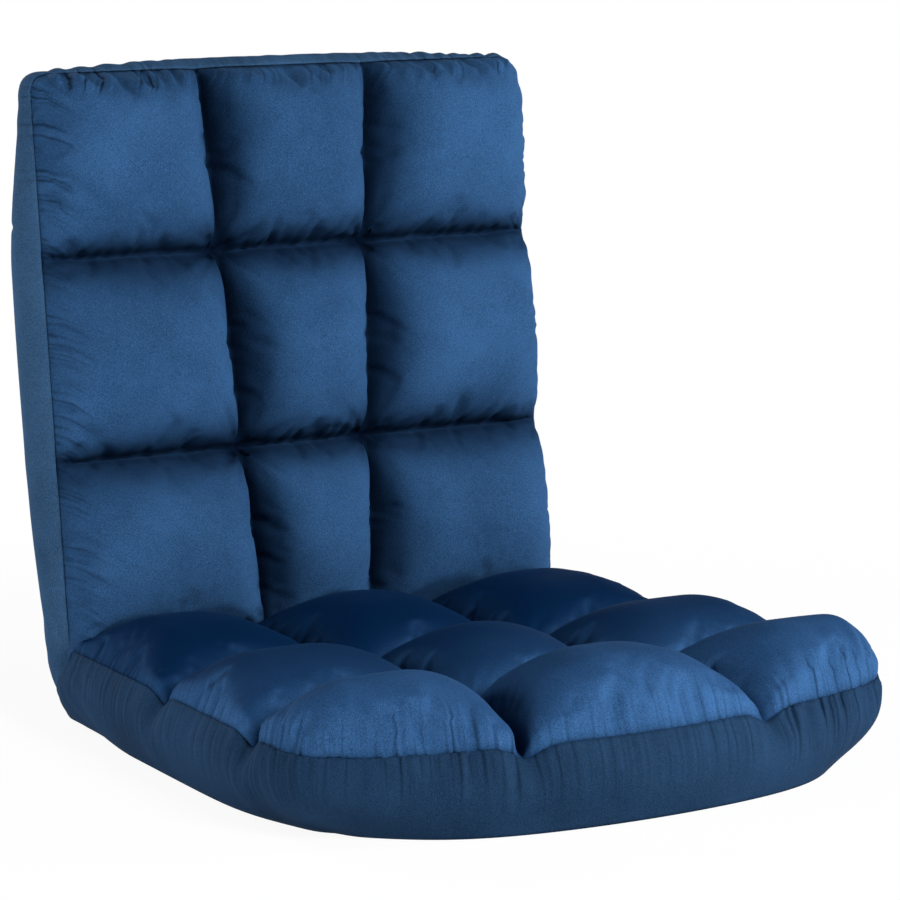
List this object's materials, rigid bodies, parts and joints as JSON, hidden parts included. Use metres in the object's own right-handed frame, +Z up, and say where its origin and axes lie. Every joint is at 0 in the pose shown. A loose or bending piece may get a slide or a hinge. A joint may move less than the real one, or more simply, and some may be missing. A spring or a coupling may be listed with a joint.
{
  "type": "folding floor chair",
  "caption": "Legless folding floor chair with a tufted velvet seat and a tufted back that reclines in steps on a ratchet hinge, from upright to flat.",
  "frame": {"origin": "middle of the seat's base cloth, on the floor", "axes": "+X to the sitter's left hand, +Y towards the back of the chair, +Z up"},
  "size_m": [0.5741, 0.6565, 0.5704],
  "materials": {
    "velvet": "matte",
    "base_cloth": "matte",
    "foam": "matte",
    "webbing": "matte",
    "frame_paint": "satin",
    "hinge_steel": "satin",
    "zip_tape": "matte",
    "zip_metal": "satin"
  },
  "bodies": {
    "seat_half": {"crease_wadding": "velvet", "hinge_strip_cloth": "velvet", "left_hinge_inner_cheek": "hinge_steel", "left_hinge_outer_cheek": "hinge_steel", "left_pawl_pin": "hinge_steel", "left_pawl_spring": "hinge_steel", "left_pivot_rivet": "hinge_steel", "right_hinge_inner_cheek": "hinge_steel", "right_hinge_outer_cheek": "hinge_steel", "right_pawl_pin": "hinge_steel", "right_pawl_spring": "hinge_steel", "right_pivot_rivet": "hinge_steel", "seat_base_cloth": "base_cloth", "seat_base_foam": "foam", "seat_boxing": "velvet", "seat_edge_foam": "foam", "seat_frame_rivets": "hinge_steel", "seat_frame_tube": "frame_paint", "seat_middle_cross_tube": "frame_paint", "seat_rear_cross_tube": "frame_paint", "seat_top_foam": "foam", "seat_tuft_front_centre": "velvet", "seat_tuft_front_left": "velvet", "seat_tuft_front_right": "velvet", "seat_tuft_middle_centre": "velvet", "seat_tuft_middle_left": "velvet", "seat_tuft_middle_right": "velvet", "seat_tuft_rear_centre": "velvet", "seat_tuft_rear_left": "velvet", "seat_tuft_rear_right": "velvet", "seat_webbing": "webbing"},
    "back_half": {"back_boxing": "velvet", "back_edge_foam": "foam", "back_frame_rivets": "hinge_steel", "back_frame_tube": "frame_paint", "back_front_foam": "foam", "back_lower_cross_tube": "frame_paint", "back_rear_cloth": "velvet", "back_rear_foam": "foam", "back_tuft_lower_centre": "velvet", "back_tuft_lower_left": "velvet", "back_tuft_lower_right": "velvet", "back_tuft_middle_centre": "velvet", "back_tuft_middle_left": "velvet", "back_tuft_middle_right": "velvet", "back_tuft_upper_centre": "velvet", "back_tuft_upper_left": "velvet", "back_tuft_upper_right": "velvet", "back_upper_cross_tube": "frame_paint", "back_webbing": "webbing", "left_ratchet_plate": "hinge_steel", "right_ratchet_plate": "hinge_steel", "zip_tape": "zip_tape"},
    "left_pawl_unit": {"left_pawl": "hinge_steel"},
    "right_pawl_unit": {"right_pawl": "hinge_steel"},
    "zip_slider_unit": {"zip_slider": "zip_metal"},
    "zip_pull_unit": {"zip_pull": "zip_metal"}
  },
  "joints": [
    {"name": "back_recline", "type": "hinge", "parent": "seat_half", "child": "back_half", "pos_m": [0, 0.278, 0.03], "axis": [-1, 0, 0], "range_deg": [-20.77, 83.08], "deforming": ["crease_wadding", "hinge_strip_cloth"]},
    {"name": "left_pawl_swing", "type": "hinge", "parent": "seat_half", "child": "left_pawl_unit", "pos_m": [-0.212, 0.253, 0.0425], "axis": [1, 0, 0], "range_deg": [-8, 13], "deforming": ["left_pawl_spring"]},
    {"name": "right_pawl_swing", "type": "hinge", "parent": "seat_half", "child": "right_pawl_unit", "pos_m": [0.212, 0.253, 0.0425], "axis": [1, 0, 0], "range_deg": [-8, 13], "deforming": ["right_pawl_spring"]},
    {"name": "zip_slide", "type": "slide", "parent": "back_half", "child": "zip_slider_unit", "axis": [-1, 0, 0], "range_m": [0, 0.36]},
    {"name": "zip_pull_swing", "type": "hinge", "parent": "zip_slider_unit", "child": "zip_pull_unit", "pos_m": [0.18, 0.31922, 0.08745], "axis": [1, 0, 0], "range_deg": [-10, 140]}
  ]
}
